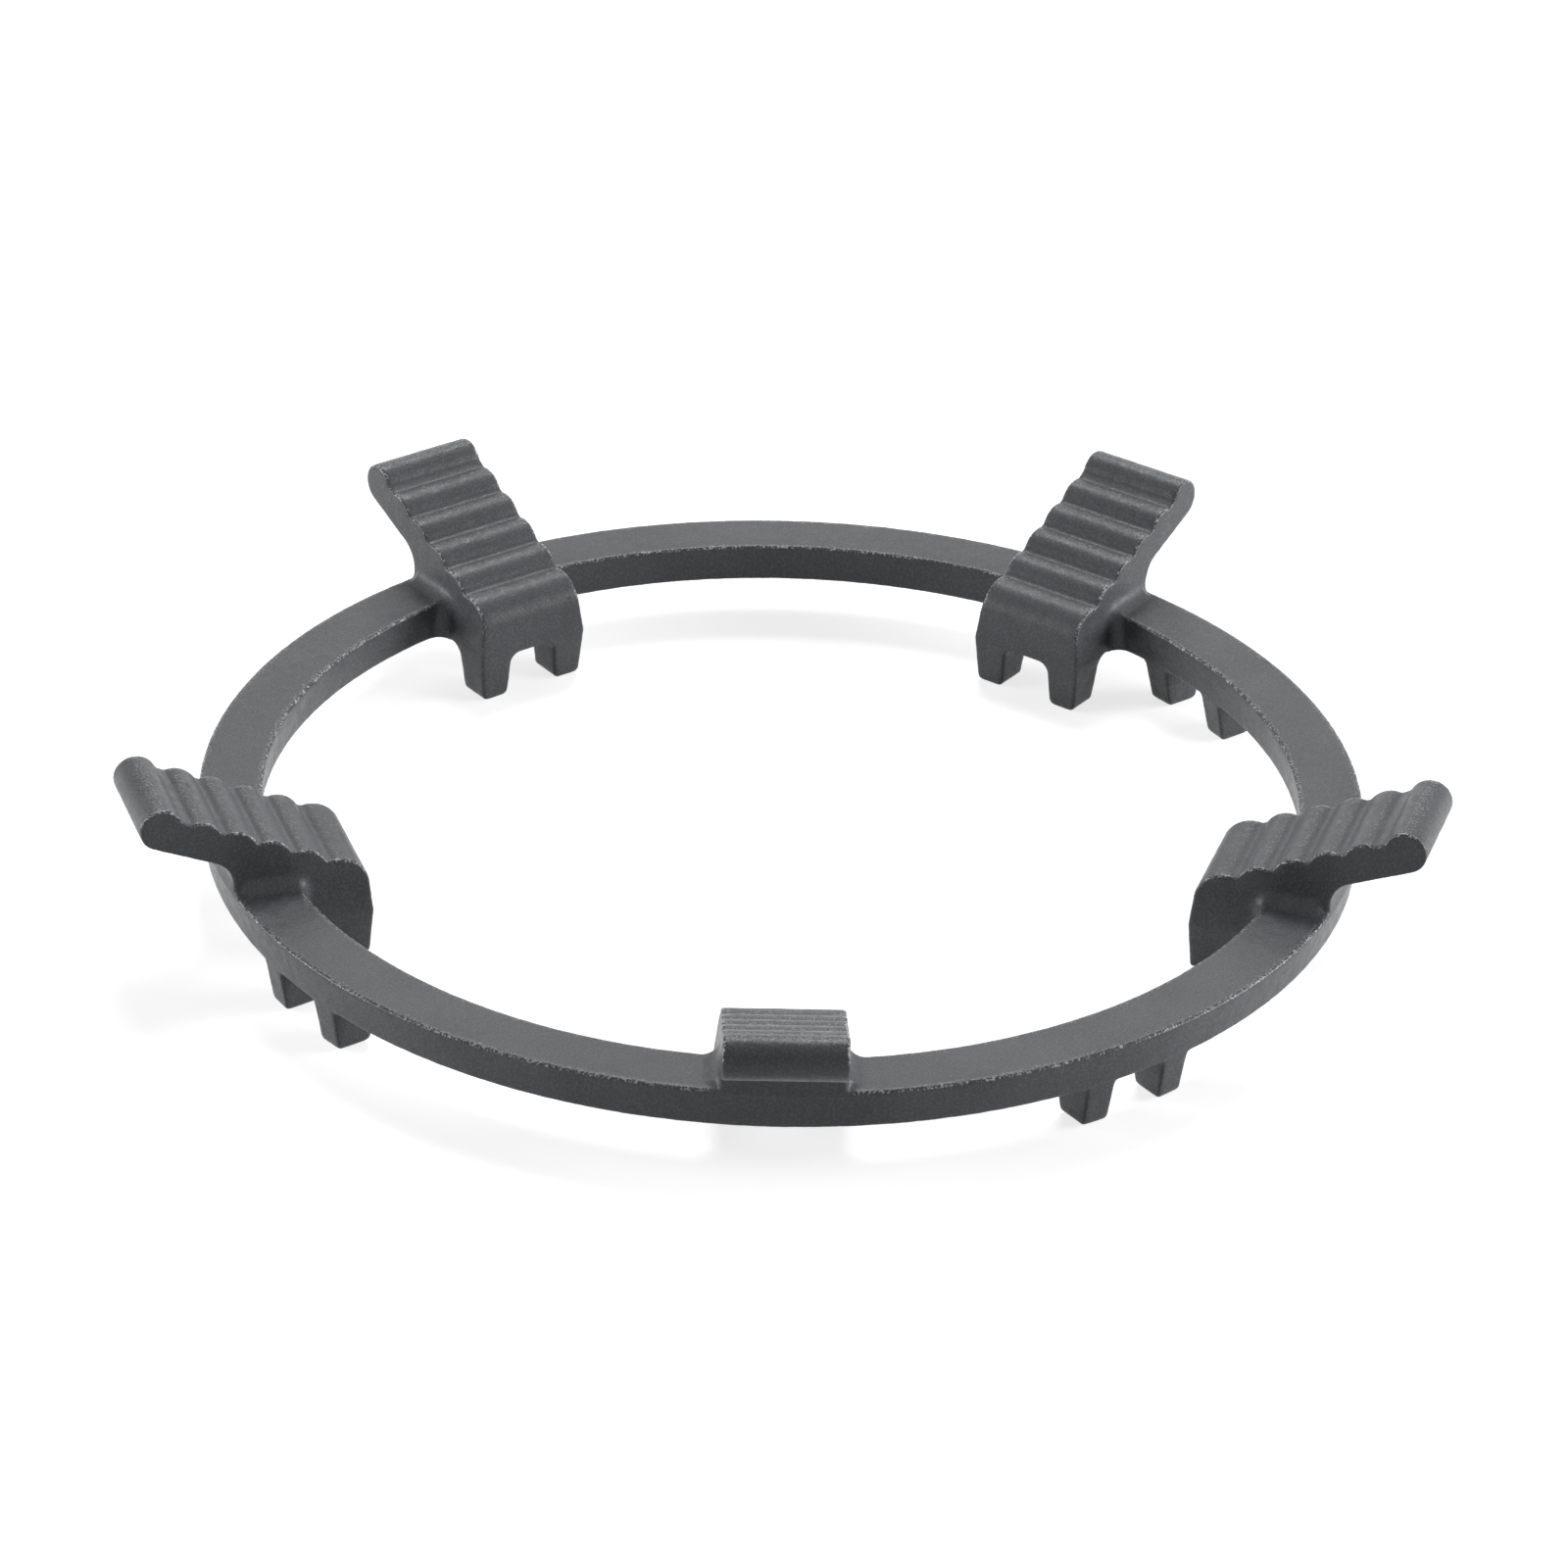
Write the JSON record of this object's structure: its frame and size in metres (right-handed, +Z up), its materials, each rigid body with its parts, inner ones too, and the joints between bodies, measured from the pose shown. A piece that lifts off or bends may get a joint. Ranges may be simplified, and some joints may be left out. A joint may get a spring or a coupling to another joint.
{
  "type": "wok ring",
  "caption": "Flat cast-iron ring with ribbed lugs that lean outwards to cradle a round-bottomed wok, and slotted feet that drop over the fingers of a pan support.",
  "frame": {"origin": "on the ring's axis, level with the ring's flat top face", "axes": "+Z up, out of the burner opening towards the wok; +Y through the middle of the lug that straddles a pan-support finger; +X towards one of the side pairs of feet"},
  "size_m": [0.247, 0.2363, 0.036],
  "materials": {
    "cast_iron": "sand-cast iron under a thin matt charcoal enamel"
  },
  "bodies": {
    "root": {"wok_ring": "cast_iron"}
  },
  "joints": []
}
